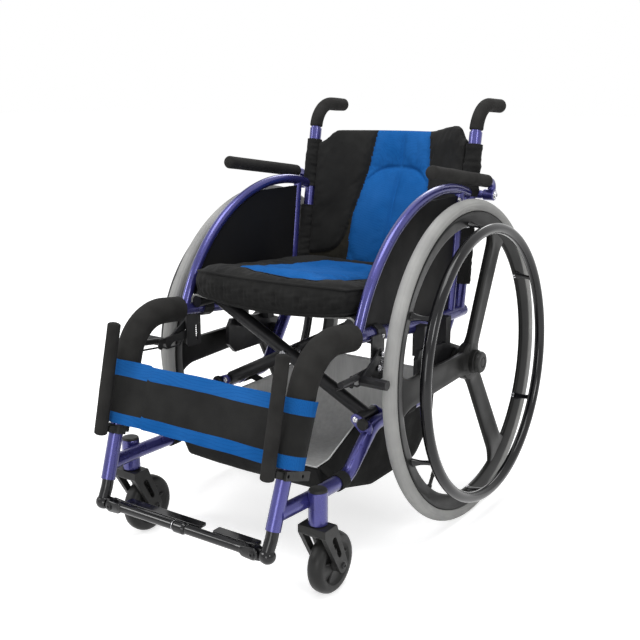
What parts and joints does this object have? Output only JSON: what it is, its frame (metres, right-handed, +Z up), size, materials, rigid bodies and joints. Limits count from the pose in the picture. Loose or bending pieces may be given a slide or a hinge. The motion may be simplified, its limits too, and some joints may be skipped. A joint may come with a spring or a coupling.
{
  "type": "folding sports wheelchair",
  "caption": "Folding wheelchair with moulded-spoke rear wheels, handrims, cross brace, padded seat and backrest, swing-up armrests, brakes, casters and a folding footrest.",
  "frame": {"origin": "on the floor, under the middle of the bounding box", "axes": "+Z up, -Y the way the chair drives, +X towards the occupant's left"},
  "size_m": [0.621, 0.8572, 0.7895],
  "materials": {
    "frame_purple": "metallic purple paint",
    "black_metal": "black anodised or powder coated",
    "black_plastic": "moulded black nylon",
    "black_foam": "closed-cell foam",
    "black_fabric": "woven nylon",
    "blue_fabric": "knitted mesh",
    "grey_tyre": "grey non-marking rubber",
    "steel": "plated steel"
  },
  "bodies": {
    "frame_left": {"left_seat_tube": "frame_purple", "left_arch_tube": "frame_purple", "left_lower_rail": "frame_purple", "left_guard_strut": "frame_purple", "left_back_post": "frame_purple", "left_side_guard": "black_plastic", "left_push_grip": "black_foam", "left_knee_pad": "black_foam", "left_leg_guard_pad": "black_foam", "left_leg_guard_bracket": "black_plastic", "left_footrest_slider": "black_metal", "left_axle_plate": "black_metal", "left_brake_mount": "black_metal", "left_seat_saddle": "black_plastic", "backrest": "black_fabric", "calf_strap": "blue_fabric", "storage_bag": "black_fabric"},
    "frame_right": {"right_seat_tube": "frame_purple", "right_arch_tube": "frame_purple", "right_lower_rail": "frame_purple", "right_guard_strut": "frame_purple", "right_back_post": "frame_purple", "right_side_guard": "black_plastic", "right_push_grip": "black_foam", "right_knee_pad": "black_foam", "right_leg_guard_pad": "black_foam", "right_leg_guard_bracket": "black_plastic", "right_footrest_slider": "black_metal", "right_axle_plate": "black_metal", "right_brake_mount": "black_metal", "right_seat_saddle": "black_plastic"},
    "cross_arm_a": {"cross_arm_a": "black_metal", "cross_bolt": "steel"},
    "cross_arm_b": {"cross_arm_b": "black_metal"},
    "seat": {"seat_cushion": "black_fabric", "seat_sling": "black_fabric"},
    "left_wheel": {"left_tyre": "grey_tyre", "left_mag_wheel": "black_plastic", "left_handrim": "black_metal", "left_wheel_axle": "black_plastic"},
    "left_caster": {"left_caster_fork": "black_plastic"},
    "left_caster_wheel": {"left_caster_wheel": "black_plastic"},
    "left_armrest": {"left_armrest_tube": "frame_purple", "left_armrest_pad": "black_foam"},
    "left_brake_lever": {"left_brake_lever": "black_metal"},
    "left_brake_shoe": {"left_brake_shoe": "black_metal"},
    "left_footrest": {"left_footrest_half": "black_metal"},
    "right_wheel": {"right_tyre": "grey_tyre", "right_mag_wheel": "black_plastic", "right_handrim": "black_metal", "right_wheel_axle": "black_plastic"},
    "right_caster": {"right_caster_fork": "black_plastic"},
    "right_caster_wheel": {"right_caster_wheel": "black_plastic"},
    "right_armrest": {"right_armrest_tube": "frame_purple", "right_armrest_pad": "black_foam"},
    "right_brake_lever": {"right_brake_lever": "black_metal"},
    "right_brake_shoe": {"right_brake_shoe": "black_metal"},
    "right_footrest": {"right_footrest_half": "black_metal"}
  },
  "joints": [
    {"name": "fold", "type": "hinge", "parent": "frame_left", "child": "cross_arm_a", "pos_m": [0.168, -0.11435, 0.25], "axis": [0, 1, 0], "range_deg": [0, 50], "deforming": ["seat_cushion", "seat_sling", "backrest", "calf_strap", "storage_bag"]},
    {"name": "cross_middle", "type": "hinge", "parent": "cross_arm_a", "child": "cross_arm_b", "pos_m": [0, -0.09435, 0.336], "axis": [0, 1, 0], "range_deg": [-100, 0]},
    {"name": "right_side_fold", "type": "hinge", "parent": "cross_arm_b", "child": "frame_right", "pos_m": [-0.168, -0.07435, 0.25], "axis": [0, 1, 0], "range_deg": [0, 50]},
    {"name": "seat_level", "type": "hinge", "parent": "cross_arm_a", "child": "seat", "pos_m": [-0.168, -0.11435, 0.422], "axis": [0, 1, 0], "range_deg": [-50, 0]},
    {"name": "left_footrest_fold", "type": "hinge", "parent": "frame_left", "child": "left_footrest", "pos_m": [0.155, -0.41635, 0.11], "axis": [0, 1, 0], "range_deg": [0, 83.4]},
    {"name": "right_footrest_fold", "type": "hinge", "parent": "frame_right", "child": "right_footrest", "pos_m": [-0.155, -0.41635, 0.11], "axis": [0, 1, 0], "range_deg": [-83.4, 0]},
    {"name": "left_wheel_spin", "type": "hinge", "parent": "frame_left", "child": "left_wheel", "pos_m": [0.247, 0.12365, 0.30479], "axis": [0.9993, 0, 0.0375], "continuous": true},
    {"name": "left_caster_swivel", "type": "hinge", "parent": "frame_left", "child": "left_caster", "pos_m": [0.206, -0.31935, 0.133], "axis": [0, 0, 1], "continuous": true},
    {"name": "left_caster_spin", "type": "hinge", "parent": "left_caster", "child": "left_caster_wheel", "pos_m": [0.206, -0.28435, 0.0525], "axis": [1, 0, 0], "continuous": true},
    {"name": "left_armrest_lift", "type": "hinge", "parent": "frame_left", "child": "left_armrest", "pos_m": [0.225, 0.24365, 0.60679], "axis": [-1, 0, 0], "range_deg": [0, 100]},
    {"name": "left_brake", "type": "hinge", "parent": "frame_left", "child": "left_brake_lever", "pos_m": [0.2078, -0.14835, 0.35], "axis": [-1, 0, 0], "range_deg": [0, 22]},
    {"name": "left_brake_shoe_turn", "type": "hinge", "parent": "frame_left", "child": "left_brake_shoe", "pos_m": [0.2119, -0.14435, 0.375], "axis": [1, 0, 0], "range_deg": [0, 17.6]},
    {"name": "right_wheel_spin", "type": "hinge", "parent": "frame_right", "child": "right_wheel", "pos_m": [-0.247, 0.12365, 0.30479], "axis": [0.9993, 0, -0.0375], "continuous": true},
    {"name": "right_caster_swivel", "type": "hinge", "parent": "frame_right", "child": "right_caster", "pos_m": [-0.206, -0.31935, 0.133], "axis": [0, 0, 1], "continuous": true},
    {"name": "right_caster_spin", "type": "hinge", "parent": "right_caster", "child": "right_caster_wheel", "pos_m": [-0.206, -0.28435, 0.0525], "axis": [1, 0, 0], "continuous": true},
    {"name": "right_armrest_lift", "type": "hinge", "parent": "frame_right", "child": "right_armrest", "pos_m": [-0.225, 0.24365, 0.60679], "axis": [-1, 0, 0], "range_deg": [0, 100]},
    {"name": "right_brake", "type": "hinge", "parent": "frame_right", "child": "right_brake_lever", "pos_m": [-0.2078, -0.14835, 0.35], "axis": [-1, 0, 0], "range_deg": [0, 22]},
    {"name": "right_brake_shoe_turn", "type": "hinge", "parent": "frame_right", "child": "right_brake_shoe", "pos_m": [-0.2119, -0.14435, 0.375], "axis": [1, 0, 0], "range_deg": [0, 17.6]}
  ],
  "couplings": [
    {"joint": "cross_middle", "follows": "fold", "ratio": -2},
    {"joint": "right_side_fold", "follows": "fold", "ratio": 1},
    {"joint": "seat_level", "follows": "fold", "ratio": -1},
    {"joint": "left_footrest_fold", "follows": "fold", "ratio": 1.6666},
    {"joint": "right_footrest_fold", "follows": "fold", "ratio": -1.6666},
    {"joint": "left_brake_shoe_turn", "follows": "left_brake", "ratio": 0.795},
    {"joint": "right_brake_shoe_turn", "follows": "right_brake", "ratio": 0.795}
  ]
}
